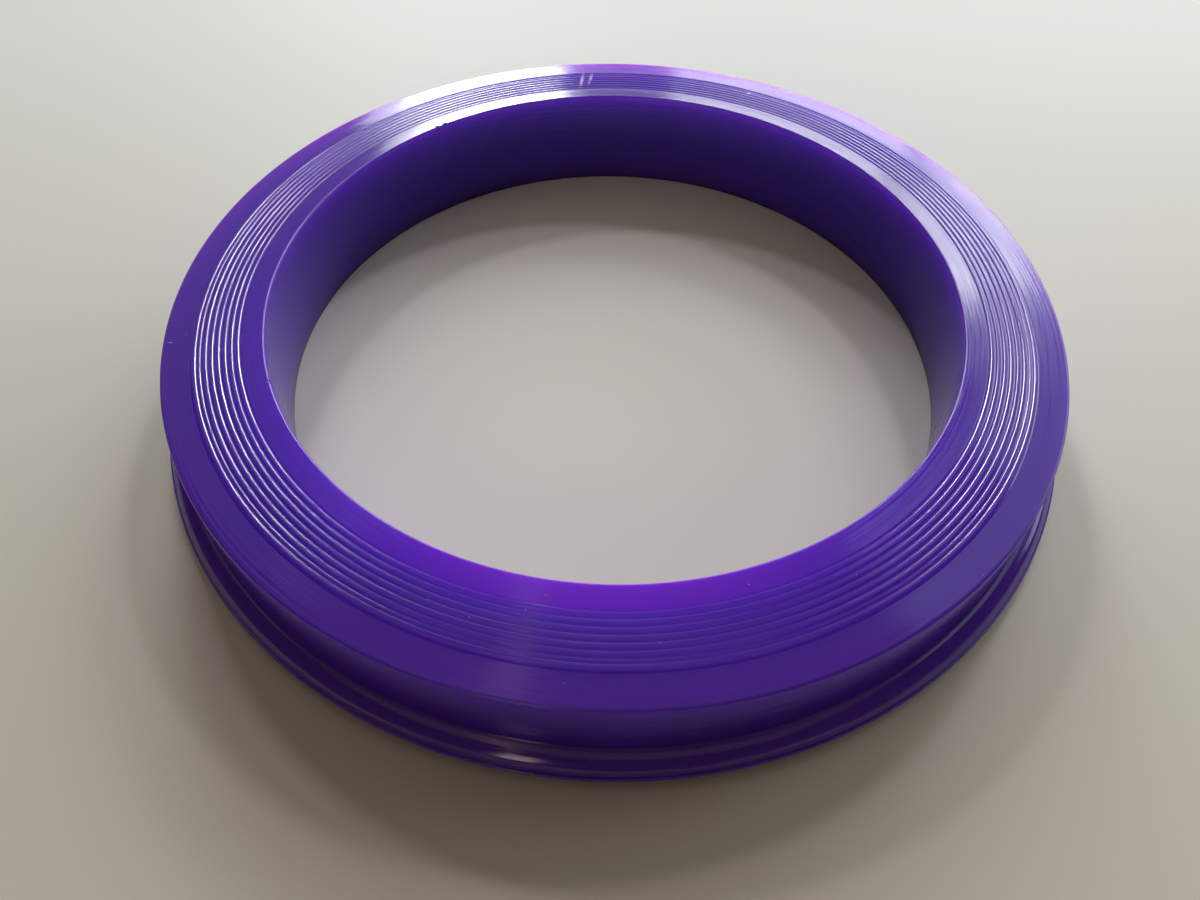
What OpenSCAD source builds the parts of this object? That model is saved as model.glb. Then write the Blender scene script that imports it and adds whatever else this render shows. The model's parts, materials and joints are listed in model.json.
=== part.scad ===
// Hammer union seal ring: one moulded ring that stands on its flat back, with a ribbed sealing face on top.
// Sizes are in millimetres. The origin is on the ring's axis at its back, and +Z points out of the sealing face.

/* [Ring] */
// Diameter of the bore
bore_d = 101.6; // [96:0.1:106]
// Height from the back to the top edge of the bore
ring_h = 17.3; // [12:0.1:24]
// Diameter of the straight outer wall
wall_d = 131; // [126:0.1:134]
// Fall of the sealing face towards the rim, in degrees
face_slope = 6; // [2:0.5:10]
// Radius on both edges of the bore
bore_edge_r = 0.25; // [0.1:0.05:0.8]
// Radius on the top edge of the rim
rim_edge_r = 0.5; // [0.2:0.1:2]

/* [Ribbed band] */
// Width of the smooth lip between the bore and the first rib
lip_w = 3.4; // [2.6:0.05:5]
// Radius on the outer edge of the lip
lip_edge_r = 0.3; // [0.2:0.05:0.8]
// Number of equal ribs inside the narrow one
rib_count = 6; // [3:1:8]
// Width of a rib from valley to valley
rib_w = 0.92; // [0.6:0.02:1.2]
// Width of the narrow rib beside the outermost one
narrow_rib_w = 0.6; // [0.4:0.05:0.8]
// Radius of a rib's crown, in proportion to its width on the narrow one
rib_r = 1; // [0.65:0.05:2]
// Depth of the valleys below the lip
valley_depth = 0.11; // [0.06:0.01:0.2]
// Fall from the lip's level to the smooth outer land
land_drop = 0.2; // [0.18:0.01:0.4]

/* [Bead] */
// Diameter over the bead
bead_d = 136.4; // [134:0.1:139]
// Radius of the bead's round section
bead_r = 2.5; // [1.8:0.1:3.5]
// Radius of the fillet between the wall and the bead
fillet_r = 0.2; // [0.1:0.1:2]
// How far the parting ridge stands out of the bead
parting_out = 0.25; // [0.1:0.05:0.5]
// Height of the parting ridge
parting_h = 0.6; // [0.2:0.1:1.2]

/* [Hidden] */
$fn = 128;

// Depth by which one shape of the section reaches into the next
overlap = 0.05;
// Excess on the radius of a round, so that it meets the straight sides without a gap
blend = 0.0002;

bore_r = bore_d / 2;
wall_r = wall_d / 2;
bead_mid_r = bead_d / 2 - bead_r;

// Distances along the sloping face, from the top edge of the bore
narrow_rib_x = lip_w + rib_count * rib_w;
last_rib_x = narrow_rib_x + narrow_rib_w;
last_crown_x = last_rib_x + rib_w / 2;
lip_round_x = lip_w - sqrt(2 * lip_edge_r * valley_depth - valley_depth * valley_depth);
band_floor = -valley_depth - overlap;

// Heights on the section
fillet_mid_r = wall_r + fillet_r;
fillet_z = bead_r + sqrt(pow(bead_r + fillet_r, 2) - pow(fillet_mid_r - bead_mid_r, 2));
bore_edge_z = face_z(bore_r + bore_edge_r, 0) - bore_edge_r / cos(face_slope);
rim_edge_z = face_z(wall_r - rim_edge_r, land_drop) - rim_edge_r / cos(face_slope);

// Height of the sloping face at a radius, lowered square to the face by a drop
function face_z(r, drop) = ring_h - (r - bore_r) * tan(face_slope) - drop / cos(face_slope);

// Point of the section at a distance along the sloping face and a height square to it
function on_face(x, y) = [
    bore_r + x * cos(face_slope) + y * sin(face_slope),
    ring_h - x * sin(face_slope) + y * cos(face_slope)
];

// Point where an edge's round meets the sloping face
function round_on_face(centre, r) = centre + r * [sin(face_slope), cos(face_slope)];

bore_top = [bore_r + bore_edge_r, bore_edge_z];
bore_foot = [bore_r + bore_edge_r, bore_edge_r];
rim_top = [wall_r - rim_edge_r, rim_edge_z];

module disc_at(centre, r) {
    translate(centre) circle(r);
}

// One rib: a round that passes through the valleys on its two sides, with the same steepness on every rib
module rib(start, width) {
    crown_r = rib_r * width / rib_w;
    centre_y = -valley_depth - sqrt(crown_r * crown_r - width * width / 4);
    disc_at(on_face(start + width / 2, centre_y), crown_r);
}

// Straight-sided core of the section, with each round edge cut back to its tangent points
module core() {
    polygon([
        [bore_foot.x, 0],
        [bead_mid_r, 0],
        [bead_mid_r, bead_r],
        [wall_r, bead_r],
        [wall_r, rim_top.y],
        round_on_face(rim_top, rim_edge_r),
        on_face(last_crown_x, -land_drop),
        on_face(last_crown_x, band_floor),
        on_face(lip_w, band_floor),
        on_face(lip_round_x, 0),
        round_on_face(bore_top, bore_edge_r),
        [bore_r, bore_top.y],
        [bore_r, bore_foot.y]
    ]);
}

module round_edges() {
    disc_at(bore_top, bore_edge_r + blend);
    disc_at(bore_foot, bore_edge_r);
    disc_at(rim_top, rim_edge_r + blend);
}

// Lip's round shoulder, the equal ribs, the narrow one and the outermost one
module ribbed_band() {
    disc_at(on_face(lip_round_x, -lip_edge_r), lip_edge_r + blend);
    for (i = [0 : rib_count - 1]) rib(lip_w + i * rib_w, rib_w);
    rib(narrow_rib_x, narrow_rib_w);
    rib(last_rib_x, rib_w);
}

// Hollow fillet that runs from the wall into the top of the bead
module bead_fillet() {
    difference() {
        polygon([
            [wall_r - bead_r, bead_r],
            [bead_mid_r, bead_r],
            [fillet_mid_r, fillet_z],
            [wall_r - bead_r, fillet_z]
        ]);
        disc_at([fillet_mid_r, fillet_z], fillet_r + blend);
    }
}

// Fine ridge left round the bead's widest line by the two halves of the mould
module parting_ridge() {
    translate([bead_mid_r, bead_r - parting_h / 2]) square([bead_r + parting_out, parting_h]);
}

module section() {
    core();
    round_edges();
    ribbed_band();
    disc_at([bead_mid_r, bead_r], bead_r);
    bead_fillet();
    parting_ridge();
}

module seal_ring() {
    color([0.29, 0.14, 0.56]) rotate_extrude() section();
}

seal_ring();
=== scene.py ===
import json
import math
import bpy
from mathutils import Euler, Matrix, Vector


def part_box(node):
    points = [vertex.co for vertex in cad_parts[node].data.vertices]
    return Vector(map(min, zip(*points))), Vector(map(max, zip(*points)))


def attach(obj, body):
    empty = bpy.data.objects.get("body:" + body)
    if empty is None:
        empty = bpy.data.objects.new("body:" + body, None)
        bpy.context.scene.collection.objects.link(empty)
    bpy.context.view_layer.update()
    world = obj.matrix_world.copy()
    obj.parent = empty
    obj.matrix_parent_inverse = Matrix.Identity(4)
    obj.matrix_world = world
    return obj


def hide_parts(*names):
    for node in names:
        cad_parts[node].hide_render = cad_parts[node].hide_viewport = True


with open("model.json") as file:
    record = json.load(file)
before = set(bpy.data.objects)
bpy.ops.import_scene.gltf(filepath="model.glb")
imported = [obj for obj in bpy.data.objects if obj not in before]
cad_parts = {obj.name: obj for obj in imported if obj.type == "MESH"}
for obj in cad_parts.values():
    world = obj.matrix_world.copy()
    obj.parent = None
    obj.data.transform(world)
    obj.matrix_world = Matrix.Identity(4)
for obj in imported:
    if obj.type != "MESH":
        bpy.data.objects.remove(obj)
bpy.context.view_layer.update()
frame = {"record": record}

MM = 0.001

# Sizes that the frame gives
mounts = {m["name"]: m for m in frame["record"]["mounts"]}
BORE_R = mounts["bore"]["dims"]["r_mm"] * MM
WALL_R = mounts["outer_wall"]["dims"]["r_mm"] * MM
RIDGE_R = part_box("seal_ring")[1].x

# Sizes of the section, as the solid has them, and the small round on the parting ridge's edges
RING_H = 17.3 * MM
FACE_SLOPE = math.radians(6)
BORE_EDGE_R = 0.25 * MM
RIM_EDGE_R = 0.5 * MM
LIP_W = 3.4 * MM
LIP_EDGE_R = 0.3 * MM
RIB_COUNT = 6
RIB_W = 0.92 * MM
NARROW_RIB_W = 0.6 * MM
RIB_R = 1.0 * MM
VALLEY_DEPTH = 0.11 * MM
LAND_DROP = 0.2 * MM
BEAD_R = 2.5 * MM
FILLET_R = 0.2 * MM
RIDGE_OUT = 0.25 * MM
RIDGE_H = 0.6 * MM
RIDGE_EDGE_R = 0.1 * MM
BEAD_MID_R = RIDGE_R - RIDGE_OUT - BEAD_R

# Directions on the section, as angles: straight up, and square to the sloping face
UP = math.pi / 2
FACE_UP = UP - FACE_SLOPE

# How finely the ring is turned
AROUND = 480
ARC_STEP = math.radians(9)
STRAIGHT_STEP = 3.0 * MM
SHARP_ANGLE = math.radians(18)

# Nicks in the top edge of the bore: azimuth, width and depth
NICKS = (
    (math.radians(127.1), 0.8 * MM, 0.3 * MM),
    (math.radians(128.8), 0.7 * MM, 0.35 * MM),
    (math.radians(204.5), 0.4 * MM, 0.2 * MM),
)
# Steps across a nick, in half widths, how far from the edge the outline stays whole, and the cut's lean of
# 45 degrees
NICK_STEPS = (-1, -0.6, -0.2, 0.2, 0.6, 1)
NICK_REACH = 0.6 * MM
NICK_LIMIT = 0.9 * NICK_REACH
NICK_LEAN = math.sqrt(0.5)

# Turning marks: the pitch of the coarsest ones, their depth on the smooth faces and on the ribs, how little
# they change round the axis, the detail of their noise, and where the ribs begin and end
MARK_PITCH = 0.35 * MM
MARK_DEPTH = 0.045 * MM
RIB_MARK_DEPTH = 0.012 * MM
MARK_DRIFT = 0.01
MARK_DETAIL = 2
BAND_START = BORE_R + LIP_W
BAND_END = BAND_START + (RIB_COUNT + 1) * RIB_W + NARROW_RIB_W

# Pale scuffs, scratches and specks on the face: radius and azimuth of the middle, length, width, and turn
# from the radial direction, in millimetres and degrees
PALE_MARKS = (
    (57.8, 97.2, 8.0, 0.9, -10),
    (58.2, 95.6, 6.0, 0.8, -12),
    (59.4, 66.3, 0.8, 1.1, 0),
    (56.0, 3.9, 0.25, 0.2, 0),
    (58.1, 3.2, 0.2, 0.2, 0),
    (57.0, 349.7, 0.2, 0.2, 0),
    (58.3, 347.8, 0.2, 0.2, 0),
    (62.2, 190.6, 0.35, 0.35, 0),
    (64.4, 191.5, 1.4, 0.2, -20),
    (56.7, 195.2, 0.9, 0.15, -20),
    (57.9, 227.1, 0.25, 0.25, 0),
    (55.0, 260.5, 0.2, 0.2, 0),
    (58.0, 276.0, 0.2, 0.2, 0),
)
# How deep a mark reaches, the share round its middle that is palest, and the grain that breaks it up
MARK_REACH = 3 * MM
PALE_CORE = 0.2
GRAIN_LOW, GRAIN_HIGH = 0.35, 0.6
PALE_FAINT, PALE_FULL = 0.1, 0.8

# Dust: the pitch of specks in space, of which those at the surface show, their radius, the share of it that
# is palest, and how pale they are
DUST_PITCH = 2.5 * MM
DUST_R = 0.07 * MM
DUST_CORE = 0.5
DUST_FULL = 0.6

# Colours of the moulded mass, with slight clouds, and of the pale marks
MASS_DARK = (0.062, 0.012, 0.34, 1)
MASS_LIGHT = (0.072, 0.015, 0.37, 1)
PALE_COLOUR = (0.62, 0.56, 0.72, 1)
CLOUDS_PER_M = 60
CLOUD_DETAIL = 3

# Roughness: at the low and the high end of the turning marks' noise, on the pale marks, and on the two top
# edges, which are a little dull from handling
NOISE_LOW, NOISE_HIGH = 0.3, 0.7
LOW_ROUGHNESS = 0.08
HIGH_ROUGHNESS = 0.16
PALE_ROUGHNESS = 0.5
EDGE_ROUGHNESS = 0.3

# Where the dull edges fade out, in radii of the edge's round: along the face, and down the bore
EDGE_FULL, EDGE_END = 0.8, 1.2
BORE_EDGE_FULL, BORE_EDGE_END = 1.5, 2

# How deep light soaks into the ring, with shares for red, green and blue, how little at its thin edges, and
# how much of the soaking is left on the pale marks
SOAK_DEPTH = 25 * MM
SOAK_SHARES = (1.0, 0.5, 1.0)
EDGE_SOAK_DEPTH = 1.5 * MM
PALE_SOAK = 0.1
# Thin edges: the heights where the bore's and the rim's begin, how far in the rim's reaches, and its share
EDGE_Z = 17.0 * MM
LAND_Z = 15.1 * MM
RIM_SOAK_REACH = 3 * MM
RIM_SOAK_SHARE = 0.8

# The floor, whose colour is darker near the camera as painted shade and paler far off as a painted sheen of
# the windows, and the faint glow of the room
FLOOR_SIZE = 4.0
FLOOR_SHADED_NEAR = (0.51, 0.50, 0.42, 1)
FLOOR_SHEEN_FAR = (0.71, 0.81, 0.74, 1)
FLOOR_NEAR_Y, FLOOR_FAR_Y = -0.14, 0.2
FLOOR_ROUGHNESS = 0.6
ROOM_GLOW = (1.0, 0.82, 0.66, 1)
ROOM_STRENGTH = 0.055

# Upright lights round the ring: azimuths and elevations that they fill, in degrees, radiance and colour
WINDOW_DISTANCE = 3.0
DAYLIGHT = (0.97, 0.98, 1.0)
EVENING_SKY = (1.0, 0.84, 0.98)
LAMPLIGHT = (1.0, 0.72, 0.58)
WINDOWS = (
    ("left_window", (94.6, 107), (14, 30), 18, DAYLIGHT),
    ("left_window_side", (107, 110.5), (14, 28), 5, DAYLIGHT),
    ("left_window_sky", (98, 107), (30, 38.5), 18, DAYLIGHT),
    ("left_window_top", (103.7, 113), (41.5, 45.5), 51, EVENING_SKY),
    ("between_windows", (86, 94.6), (14, 17.9), 2.2, DAYLIGHT),
    ("dim_wall_between", (86, 94.6), (17.9, 60), 0.5, DAYLIGHT),
    ("right_window", (66, 86), (14, 30), 5.2, DAYLIGHT),
    ("right_window_sky", (66, 82), (30, 34), 15, DAYLIGHT),
    ("right_window_upper", (66, 75.5), (34, 43.5), 6, DAYLIGHT),
    ("right_window_top", (63, 71), (43.5, 48), 54, EVENING_SKY),
    ("right_pane", (53, 65.2), (14, 28), 4.5, DAYLIGHT),
    ("right_pane_foot", (46, 61), (7, 21), 4.5, DAYLIGHT),
    ("right_pane_sky", (53, 65.2), (28, 35), 10, DAYLIGHT),
    ("right_pane_side", (48, 53), (14, 40), 2.2, DAYLIGHT),
    ("right_wall", (22, 48), (14, 60), 0.9, DAYLIGHT),
    ("right_side", (8, 46), (7, 23), 3, DAYLIGHT),
    ("left_wall", (112, 150), (14, 60), 0.3, DAYLIGHT),
    ("lamp", (250, 257), (8, 34), 4, LAMPLIGHT),
)

# Lights overhead: a wide panel, and a strip that makes the streak across the near side of the face
CEILING_H = 3.0
CEILING_W = 3.2
CEILING_RADIANCE = 0.25
CEILING_GLOW = (1.0, 0.74, 0.5)
STRIP_PLACE = (-0.605, -0.6, 2.9)
STRIP_TURN = math.radians(80.4)
STRIP_L = 4.2
STRIP_W = 0.15
STRIP_RADIANCE = 1.0
STRIP_GLOW = (1.0, 0.55, 0.42)

# The camera, fitted to the two edges of the bore in the photograph
IMAGE_W = 1200
FOCAL_PX = 922.0
SENSOR_MM = 36.0
CAMERA_Y = -2.0491 * BORE_R
CAMERA_Z = 2.1632 * BORE_R
CAMERA_PITCH = math.radians(51.87)
CAMERA_YAW = math.radians(-1.05)
CAMERA_ROLL = math.radians(0.74)
CLIP_START = 1 * MM


def on_face(x, y):
    """Point of the section at a distance along the sloping face and a height square to it."""
    c, s = math.cos(FACE_SLOPE), math.sin(FACE_SLOPE)
    return (BORE_R + x * c + y * s, RING_H - x * s + y * c)


def face_z(r, drop):
    """Height of the sloping face at a radius, lowered square to the face by a drop."""
    return RING_H - (r - BORE_R) * math.tan(FACE_SLOPE) - drop / math.cos(FACE_SLOPE)


def arc(centre, radius, start, end):
    """Points of an arc, from one angle to another, in even steps."""
    steps = max(2, math.ceil(abs(end - start) / ARC_STEP))
    angles = [start + (end - start) * i / steps for i in range(steps + 1)]
    return [(centre[0] + radius * math.cos(a), centre[1] + radius * math.sin(a)) for a in angles]


def bore_and_lip():
    """Outline from the foot of the bore to the lip's round shoulder."""
    middle_r = BORE_R + BORE_EDGE_R
    foot = (middle_r, BORE_EDGE_R)
    top = (middle_r, face_z(middle_r, 0) - BORE_EDGE_R / math.cos(FACE_SLOPE))
    shoulder = math.acos(1 - VALLEY_DEPTH / LIP_EDGE_R)
    shoulder_x = LIP_W - LIP_EDGE_R * math.sin(shoulder)
    points = arc(foot, BORE_EDGE_R, 3 * UP, 2 * UP)
    points += [(BORE_R, RING_H - NICK_REACH)]
    points += arc(top, BORE_EDGE_R, 2 * UP, FACE_UP)
    points += [on_face(NICK_REACH, 0)]
    points += arc(on_face(shoulder_x, -LIP_EDGE_R), LIP_EDGE_R, FACE_UP, FACE_UP - shoulder)
    return points


def ribs():
    """Outline of the ribs, from the first valley to the outer land, which the last rib runs down to."""
    widths = [RIB_W] * RIB_COUNT + [NARROW_RIB_W, RIB_W]
    half = math.asin(RIB_W / 2 / RIB_R)
    start = LIP_W
    points = []
    for i, width in enumerate(widths):
        crown_r = RIB_R * width / RIB_W
        centre_y = -VALLEY_DEPTH - crown_r * math.cos(half)
        outer = half
        if i == len(widths) - 1:
            outer = math.acos((-LAND_DROP - centre_y) / crown_r)
        points += arc(on_face(start + width / 2, centre_y), crown_r, FACE_UP + half, FACE_UP - outer)[1:]
        start += width
    return points


def rim():
    """Outline of the rim's round edge, between the outer land and the wall."""
    middle_r = WALL_R - RIM_EDGE_R
    middle = (middle_r, face_z(middle_r, LAND_DROP) - RIM_EDGE_R / math.cos(FACE_SLOPE))
    return arc(middle, RIM_EDGE_R, FACE_UP, 0)


def fillet_and_bead():
    """Outline from the foot of the wall, round the bead with its parting ridge half way down, to the back."""
    fillet_r = WALL_R + FILLET_R
    fillet_z = BEAD_R + math.sqrt((BEAD_R + FILLET_R) ** 2 - (fillet_r - BEAD_MID_R) ** 2)
    to_bead = math.atan2(BEAD_R - fillet_z, BEAD_MID_R - fillet_r)
    bead = (BEAD_MID_R, BEAD_R)
    ridge_turn = math.asin(RIDGE_H / 2 / BEAD_R)
    ridge_in = (RIDGE_R - RIDGE_EDGE_R, RIDGE_H / 2 - RIDGE_EDGE_R)
    points = arc((fillet_r, fillet_z), FILLET_R, math.pi, 2 * math.pi + to_bead)
    points += arc(bead, BEAD_R, math.pi + to_bead, ridge_turn)[1:]
    points += arc((ridge_in[0], BEAD_R + ridge_in[1]), RIDGE_EDGE_R, UP, 0)
    points += arc((ridge_in[0], BEAD_R - ridge_in[1]), RIDGE_EDGE_R, 0, -UP)
    points += arc(bead, BEAD_R, -ridge_turn, -UP)
    return points


def section():
    """The ring's closed outline in radius and height: up the bore, out over the face, down and back."""
    return bore_and_lip() + ribs() + rim() + fillet_and_bead()


def with_straights(points):
    """The same outline with its long straight stretches divided."""
    out = []
    for a, b in zip(points, points[1:] + points[:1]):
        steps = max(1, math.ceil(math.dist(a, b) / STRAIGHT_STEP))
        out += [(a[0] + (b[0] - a[0]) * i / steps, a[1] + (b[1] - a[1]) * i / steps) for i in range(steps)]
    return out


def nicked(r, z, angle):
    """A point of the outline, pushed in where a nick takes a little off the bore's top edge."""
    if r > BORE_R + NICK_LIMIT or z < RING_H - NICK_LIMIT:
        return r, z
    for middle, width, depth in NICKS:
        off = abs(angle - middle) * BORE_R / (width / 2)
        if off < 1:
            push = depth * (1 - off * off) * NICK_LEAN
            return r + push, z - push
    return r, z


def new_object(name, data):
    """A new object in the scene."""
    obj = bpy.data.objects.new(name, data)
    bpy.context.scene.collection.objects.link(obj)
    return obj


def turned(name, outline):
    """A mesh object made by turning a closed outline once round the Z axis, with the nicks in it."""
    angles = [2 * math.pi * k / AROUND for k in range(AROUND)]
    for middle, width, _ in NICKS:
        angles += [middle + step * width / 2 / BORE_R for step in NICK_STEPS]
    angles.sort()
    count = len(outline)
    verts = []
    for a in angles:
        for r, z in outline:
            r, z = nicked(r, z, a)
            verts.append((r * math.cos(a), r * math.sin(a), z))
    faces = []
    for k in range(len(angles)):
        here = k * count
        there = (k + 1) % len(angles) * count
        for i in range(count):
            j = (i + 1) % count
            faces.append((here + i, here + j, there + j, there + i))
    mesh = bpy.data.meshes.new(name)
    mesh.from_pydata(verts, [], faces)
    mesh.validate()
    mesh.shade_smooth()
    mesh.set_sharp_from_angle(angle=SHARP_ANGLE)
    return new_object(name, mesh)


def add(tree, kind, inputs, **settings):
    """A new node with its settings, and with each input linked to a socket or set to a value."""
    node = tree.nodes.new(kind)
    for key, value in settings.items():
        setattr(node, key, value)
    for key, value in inputs.items():
        if isinstance(value, bpy.types.NodeSocket):
            tree.links.new(value, node.inputs[key])
        else:
            node.inputs[key].default_value = value
    return node


def ramp(tree, value, start, end, low=0.0, high=1.0):
    """A value that runs from low to high while another runs from start to end."""
    node = add(tree, "ShaderNodeMapRange",
               {"Value": value, "From Min": start, "From Max": end, "To Min": low, "To Max": high})
    return node.outputs["Result"]


def joined(tree, operation, first, second):
    """Two values joined by one operation of arithmetic."""
    return add(tree, "ShaderNodeMath", {0: first, 1: second}, operation=operation).outputs["Value"]


def scaled(tree, vector, scale):
    """A vector with each of its three parts multiplied by a number of its own."""
    return add(tree, "ShaderNodeVectorMath", {0: vector, 1: scale}, operation="MULTIPLY").outputs["Vector"]


def length_of(tree, vector):
    """The length of a vector."""
    return add(tree, "ShaderNodeVectorMath", {0: vector}, operation="LENGTH").outputs["Value"]


def mixed(tree, factor, first, second):
    """A colour between two others."""
    node = add(tree, "ShaderNodeMix", {"Factor": factor, "A": first, "B": second}, data_type="RGBA")
    return node.outputs["Result"]


def new_material(name):
    """A new material, with its node tree and its shader."""
    material = bpy.data.materials.new(name)
    material.use_nodes = True
    tree = material.node_tree
    return material, tree, tree.nodes["Principled BSDF"]


def pale_marks(tree, place):
    """Mask of the scuffs, scratches, specks and dust on the face: 1 on a mark and 0 beside it."""
    grain = add(tree, "ShaderNodeTexNoise",
                {"Vector": place, "Scale": 1 / MARK_PITCH, "Detail": MARK_DETAIL}).outputs["Fac"]
    mask = 0.0
    for radius, azimuth, length, width, turn in PALE_MARKS:
        a = math.radians(azimuth)
        r = radius * MM
        local = add(tree, "ShaderNodeMapping",
                    {"Vector": place, "Location": (r * math.cos(a), r * math.sin(a), face_z(r, 0)),
                     "Rotation": (0, 0, a + math.radians(turn)),
                     "Scale": (length / 2 * MM, width / 2 * MM, MARK_REACH)}, vector_type="TEXTURE")
        off = length_of(tree, local.outputs["Vector"])
        mask = joined(tree, "MAXIMUM", mask, ramp(tree, off, 1, PALE_CORE))
    mask = joined(tree, "MULTIPLY", mask, ramp(tree, grain, GRAIN_LOW, GRAIN_HIGH, PALE_FAINT, PALE_FULL))
    dust = add(tree, "ShaderNodeTexVoronoi", {"Vector": place, "Scale": 1 / DUST_PITCH})
    speck_r = DUST_R / DUST_PITCH
    specks = ramp(tree, dust.outputs["Distance"], speck_r, DUST_CORE * speck_r, 0, DUST_FULL)
    return joined(tree, "MAXIMUM", mask, specks)


def turning_marks(tree, place, radius, height):
    """Noise that runs fast across the section and slowly round the axis."""
    slow = scaled(tree, place, (MARK_DRIFT, MARK_DRIFT, 0))
    drift = add(tree, "ShaderNodeSeparateXYZ", {"Vector": slow})
    across = add(tree, "ShaderNodeCombineXYZ",
                 {"X": drift.outputs["X"], "Y": drift.outputs["Y"], "Z": radius})
    noise = add(tree, "ShaderNodeTexNoise",
                {"Vector": across.outputs["Vector"], "W": height, "Scale": 1 / MARK_PITCH,
                 "Detail": MARK_DETAIL}, noise_dimensions="4D")
    return noise.outputs["Fac"]


def mark_depth(tree, radius):
    """Depth of the turning marks, which are finer on the ribs than on the smooth faces."""
    past_lip = ramp(tree, radius, BAND_START - RIB_W, BAND_START)
    before_land = ramp(tree, radius, BAND_END + RIB_W, BAND_END)
    on_ribs = joined(tree, "MINIMUM", past_lip, before_land)
    return ramp(tree, on_ribs, 0, 1, MARK_DEPTH, RIB_MARK_DEPTH)


def top_edges(tree, radius, height, on_land):
    """Mask of the two top edges: 1 on the rounds of the bore and the rim, and 0 away from them."""
    by_bore = ramp(tree, radius, BORE_R + EDGE_END * BORE_EDGE_R, BORE_R + EDGE_FULL * BORE_EDGE_R)
    by_top = ramp(tree, height, RING_H - BORE_EDGE_END * BORE_EDGE_R, RING_H - BORE_EDGE_FULL * BORE_EDGE_R)
    by_rim = ramp(tree, radius, WALL_R - EDGE_END * RIM_EDGE_R, WALL_R - EDGE_FULL * RIM_EDGE_R)
    bore_edge = joined(tree, "MINIMUM", by_bore, by_top)
    rim_edge = joined(tree, "MINIMUM", by_rim, on_land)
    return joined(tree, "MAXIMUM", bore_edge, rim_edge)


def thin_parts(tree, radius, height, on_land):
    """Mask of the thin edges, which light soaks into less: the lip's, the rim's and the parting ridge's."""
    at_bore = ramp(tree, height, EDGE_Z, RING_H)
    by_rim = ramp(tree, radius, WALL_R - RIM_SOAK_REACH, WALL_R, 0, RIM_SOAK_SHARE)
    at_rim = joined(tree, "MULTIPLY", on_land, by_rim)
    at_ridge = ramp(tree, radius, RIDGE_R - 2 * RIDGE_OUT, RIDGE_R - RIDGE_OUT)
    return joined(tree, "MAXIMUM", joined(tree, "MAXIMUM", at_bore, at_rim), at_ridge)


def polyurethane():
    """Glossy purple elastomer that light soaks into, with fine turning marks and pale marks of handling."""
    material, tree, shader = new_material("polyurethane")
    place = add(tree, "ShaderNodeTexCoord", {}).outputs["Object"]
    height = add(tree, "ShaderNodeSeparateXYZ", {"Vector": place}).outputs["Z"]
    radius = length_of(tree, scaled(tree, place, (1, 1, 0)))
    on_land = ramp(tree, height, LAND_Z - RIM_EDGE_R, LAND_Z)
    pale = pale_marks(tree, place)

    # Slight clouds in the colour of the moulded mass, and the pale marks on top of them
    cloud = add(tree, "ShaderNodeTexNoise",
                {"Vector": place, "Scale": CLOUDS_PER_M, "Detail": CLOUD_DETAIL}).outputs["Fac"]
    mass = mixed(tree, cloud, MASS_DARK, MASS_LIGHT)
    tree.links.new(mixed(tree, pale, mass, PALE_COLOUR), shader.inputs["Base Color"])

    # Turning marks in the relief and in the gloss, which the pale marks and the top edges dull
    marks = turning_marks(tree, place, radius, height)
    bump = add(tree, "ShaderNodeBump",
               {"Height": marks, "Strength": 1.0, "Distance": mark_depth(tree, radius)})
    tree.links.new(bump.outputs["Normal"], shader.inputs["Normal"])
    gloss = ramp(tree, marks, NOISE_LOW, NOISE_HIGH, LOW_ROUGHNESS, HIGH_ROUGHNESS)
    edges = joined(tree, "MULTIPLY", top_edges(tree, radius, height, on_land), EDGE_ROUGHNESS)
    dull = joined(tree, "MAXIMUM", edges, ramp(tree, pale, 0, 1, 0, PALE_ROUGHNESS))
    tree.links.new(joined(tree, "MAXIMUM", gloss, dull), shader.inputs["Roughness"])

    # Light soaks deep into the mass, less deep at its thin edges, and hardly at all on the pale marks
    thin = thin_parts(tree, radius, height, on_land)
    tree.links.new(ramp(tree, thin, 0, 1, SOAK_DEPTH, EDGE_SOAK_DEPTH), shader.inputs["Subsurface Scale"])
    tree.links.new(ramp(tree, pale, 0, 1, 1, PALE_SOAK), shader.inputs["Subsurface Weight"])
    shader.subsurface_method = "RANDOM_WALK"
    shader.inputs["Subsurface Radius"].default_value = SOAK_SHARES
    return material


def floor():
    """A pale floor under the ring, its colour painted with shade near the camera and with the windows' sheen
    far off.
    """
    bpy.ops.mesh.primitive_plane_add(size=FLOOR_SIZE)
    plane = bpy.context.object
    plane.name = "floor"
    material, tree, shader = new_material("floor")
    place = add(tree, "ShaderNodeTexCoord", {}).outputs["Object"]
    along = add(tree, "ShaderNodeSeparateXYZ", {"Vector": place}).outputs["Y"]
    # Painted light: the colour runs from painted shade near the camera to a painted sheen of the windows far
    # off
    painted_light_fade = add(tree, "ShaderNodeMapRange",
               {"Value": along, "From Min": FLOOR_NEAR_Y, "From Max": FLOOR_FAR_Y},
               interpolation_type="SMOOTHSTEP").outputs["Result"]
    tree.links.new(mixed(tree, painted_light_fade, FLOOR_SHADED_NEAR, FLOOR_SHEEN_FAR), shader.inputs["Base Color"])
    shader.inputs["Roughness"].default_value = FLOOR_ROUGHNESS
    plane.data.materials.append(material)


def light(name, place, turn, width, height, radiance, colour):
    """A soft rectangular light of an even brightness, which shines down unless it is turned."""
    data = bpy.data.lights.new(name, "AREA")
    data.shape = "RECTANGLE"
    data.size = width
    data.size_y = height
    data.energy = radiance * math.pi * width * height
    data.color = colour
    obj = new_object(name, data)
    obj.location = place
    obj.rotation_euler = turn


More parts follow.
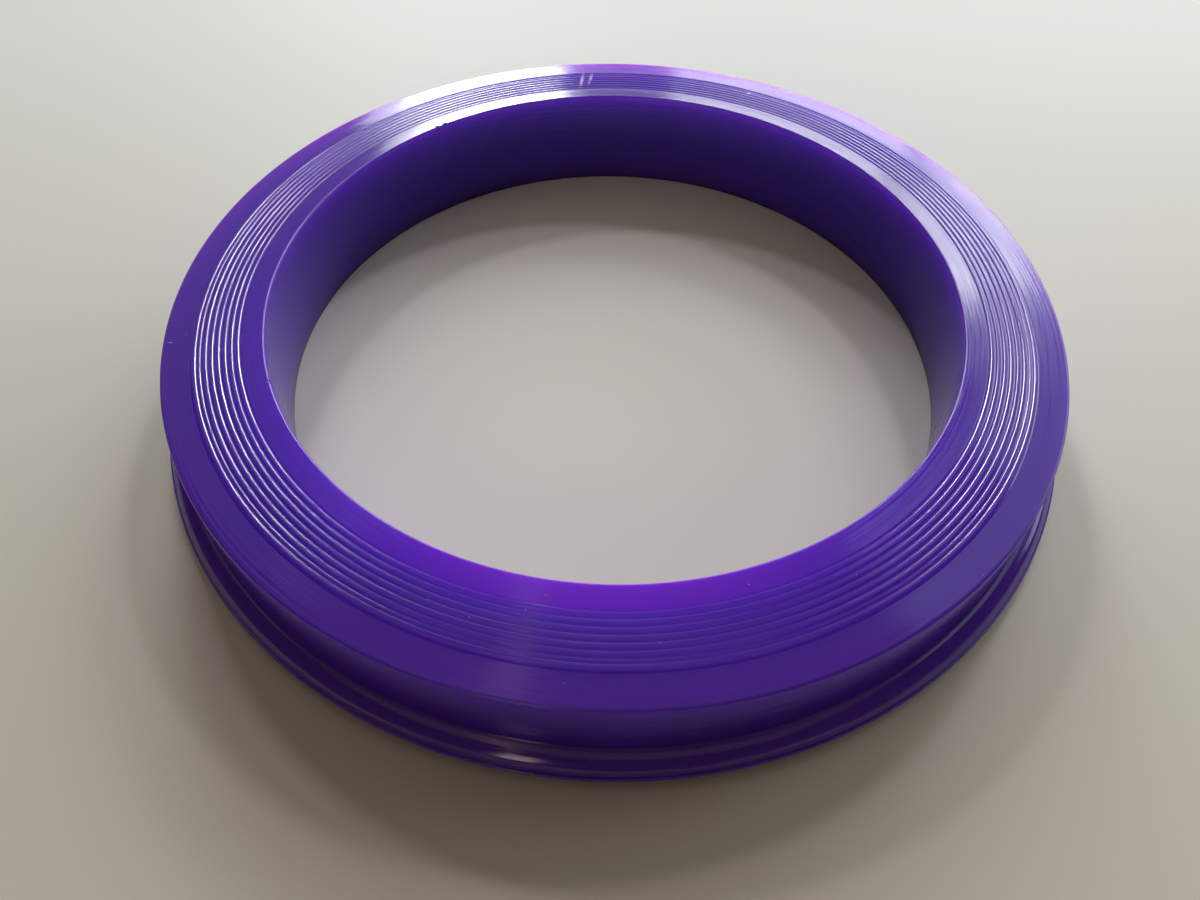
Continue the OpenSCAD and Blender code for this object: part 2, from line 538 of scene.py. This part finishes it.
def window(name, azimuths, elevations, radiance, colour):
    """An upright light that fills a range of azimuths and elevations as the ring sees them, in degrees."""
    start, end = (math.radians(a) for a in azimuths)
    low, high = (WINDOW_DISTANCE * math.tan(math.radians(e)) for e in elevations)
    middle = (start + end) / 2
    out = Vector((math.cos(middle), math.sin(middle), 0))
    place = out * WINDOW_DISTANCE + Vector((0, 0, (low + high) / 2))
    width = 2 * WINDOW_DISTANCE * math.tan((end - start) / 2)
    light(name, place, out.to_track_quat("Z", "Y").to_euler(), width, high - low, radiance, colour)


def lights():
    """The upright lights round the ring and the two lights overhead."""
    for row in WINDOWS:
        window(*row)
    light("ceiling", (0, 0, CEILING_H), Euler(), CEILING_W, CEILING_W, CEILING_RADIANCE, CEILING_GLOW)
    strip_turn = Euler((0, 0, STRIP_TURN))
    light("ceiling_lamp", STRIP_PLACE, strip_turn, STRIP_L, STRIP_W, STRIP_RADIANCE, STRIP_GLOW)


def camera():
    """The camera, pitched down at the ring, with a slight yaw and roll."""
    cp, sp = math.cos(CAMERA_PITCH), math.sin(CAMERA_PITCH)
    cy, sy = math.cos(CAMERA_YAW), math.sin(CAMERA_YAW)
    cr, sr = math.cos(CAMERA_ROLL), math.sin(CAMERA_ROLL)
    forward = Vector((sy * cp, cy * cp, -sp))
    level_right = Vector((cy, -sy, 0))
    level_up = level_right.cross(forward)
    right = cr * level_right + sr * level_up
    up = cr * level_up - sr * level_right
    data = bpy.data.cameras.new("camera")
    data.sensor_fit = "HORIZONTAL"
    data.sensor_width = SENSOR_MM
    data.lens = SENSOR_MM * FOCAL_PX / IMAGE_W
    data.clip_start = CLIP_START
    obj = new_object("camera", data)
    turn = Matrix((right, up, -forward)).transposed()
    obj.matrix_world = Matrix.Translation((0, CAMERA_Y, CAMERA_Z)) @ turn.to_4x4()
    bpy.context.scene.camera = obj


def room():
    """The faint, even glow from all round."""
    world = bpy.data.worlds.new("room")
    bpy.context.scene.world = world
    world.use_nodes = True
    back = world.node_tree.nodes["Background"]
    back.inputs["Color"].default_value = ROOM_GLOW
    back.inputs["Strength"].default_value = ROOM_STRENGTH


camera()
room()
floor()
lights()

ring = turned("ring", with_straights(section()))
ring.data.materials.append(polyurethane())
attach(ring, "root")
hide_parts("seal_ring")

bpy.context.scene.view_settings.view_transform = "Standard"
